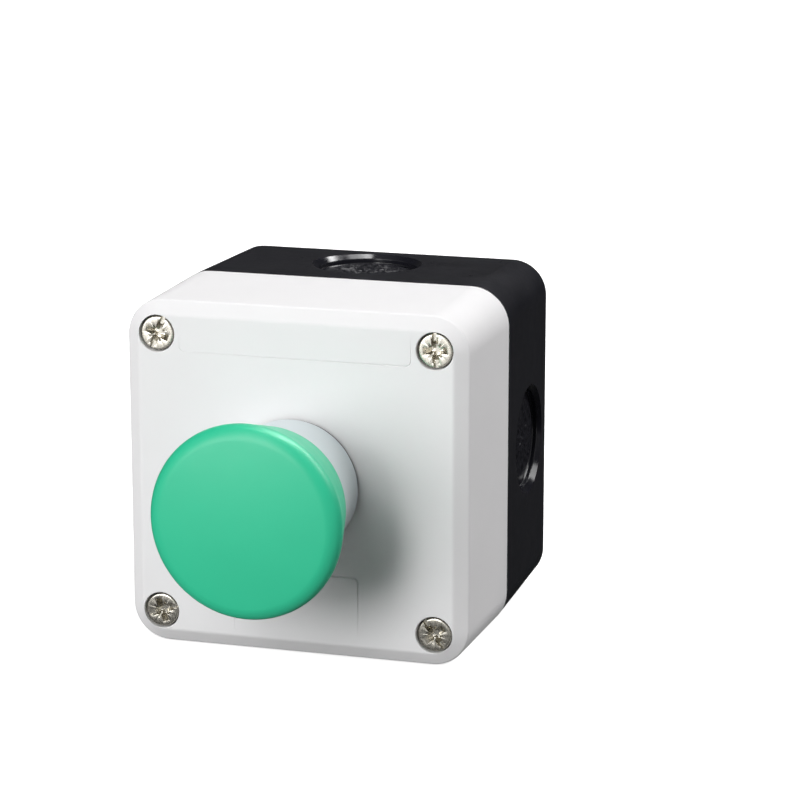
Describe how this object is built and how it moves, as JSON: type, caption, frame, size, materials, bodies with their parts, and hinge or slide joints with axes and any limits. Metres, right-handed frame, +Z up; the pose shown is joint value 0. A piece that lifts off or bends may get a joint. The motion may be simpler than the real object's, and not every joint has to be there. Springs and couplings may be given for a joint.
{
  "type": "push button control station",
  "caption": "Wall-mounted control station: a square two-part box with knockouts, and a spring-return mushroom push button over contact blocks.",
  "frame": {"origin": "centre of the rear face, where the station meets the wall", "axes": "+Z up, +Y into the wall, +X to the right as seen from the front; the button faces -Y"},
  "size_m": [0.075, 0.1003, 0.075],
  "materials": {
    "base_plastic": "satin",
    "cover_plastic": "satin",
    "cap_plastic": "satin",
    "collar_plastic": "satin",
    "dark_plastic": "satin",
    "pale_plastic": "satin",
    "green_plastic": "satin",
    "red_plastic": "satin",
    "seal_rubber": "satin",
    "screw_steel": "satin",
    "spring_steel": "satin",
    "contact_brass": "satin",
    "contact_silver": "satin"
  },
  "bodies": {
    "station": {"base_housing": "base_plastic", "front_cover": "cover_plastic", "cover_gasket": "seal_rubber", "cover_screws": "screw_steel", "screw_washers": "seal_rubber", "thread_inserts": "contact_brass", "bezel_collar": "collar_plastic", "panel_gasket": "seal_rubber", "operator_body": "dark_plastic", "return_spring": "spring_steel", "stem_seal": "seal_rubber", "lock_washer": "spring_steel", "fixing_nut": "spring_steel", "contact_carrier": "dark_plastic", "carrier_screws": "screw_steel", "no_housing": "dark_plastic", "no_side_cover": "pale_plastic", "no_plunger_spring": "spring_steel", "no_fixed_contacts": "contact_brass", "no_fixed_tips": "contact_silver", "no_terminal_clamps": "spring_steel", "no_terminal_screws": "screw_steel", "nc_housing": "dark_plastic", "nc_side_cover": "pale_plastic", "nc_plunger_spring": "spring_steel", "nc_fixed_contacts": "contact_brass", "nc_fixed_tips": "contact_silver", "nc_terminal_clamps": "spring_steel", "nc_terminal_screws": "screw_steel"},
    "button": {"mushroom_cap": "cap_plastic", "button_plunger": "pale_plastic", "retaining_clip": "spring_steel"},
    "no_slider": {"no_plunger": "green_plastic", "no_contact_spring": "spring_steel"},
    "no_contact": {"no_bridge": "contact_brass", "no_bridge_tips": "contact_silver"},
    "nc_slider": {"nc_plunger": "red_plastic", "nc_contact_spring": "spring_steel"},
    "nc_contact": {"nc_bridge": "contact_brass", "nc_bridge_tips": "contact_silver"}
  },
  "joints": [
    {"name": "button_press", "type": "slide", "parent": "station", "child": "button", "axis": [0, 1, 0], "range_m": [0, 0.0045], "stiffness_N_per_m": 1200, "springref_m": -0.004, "deforming": ["return_spring"]},
    {"name": "no_plunger_press", "type": "slide", "parent": "station", "child": "no_slider", "axis": [0, 1, 0], "range_m": [0, 0.0045], "stiffness_N_per_m": 150, "springref_m": -0.003, "deforming": ["no_plunger_spring"]},
    {"name": "nc_plunger_press", "type": "slide", "parent": "station", "child": "nc_slider", "axis": [0, 1, 0], "range_m": [0, 0.0045], "stiffness_N_per_m": 150, "springref_m": -0.003, "deforming": ["nc_plunger_spring"]},
    {"name": "no_bridge_close", "type": "slide", "parent": "station", "child": "no_contact", "axis": [0, 1, 0], "range_m": [0, 0.0029], "stiffness_N_per_m": 150, "springref_m": -0.003, "deforming": ["no_contact_spring"]},
    {"name": "nc_bridge_open", "type": "slide", "parent": "station", "child": "nc_contact", "axis": [0, 1, 0], "range_m": [0, 0.0035], "stiffness_N_per_m": 150, "springref_m": -0.003, "deforming": ["nc_contact_spring"]}
  ],
  "couplings": [
    {"joint": "no_plunger_press", "follows": "button_press", "ratio": 1},
    {"joint": "nc_plunger_press", "follows": "button_press", "ratio": 1},
    {"joint": "no_bridge_close", "follows": "button_press", "ratio": 0.64},
    {"joint": "nc_bridge_open", "follows": "button_press", "ratio": 0.775}
  ]
}
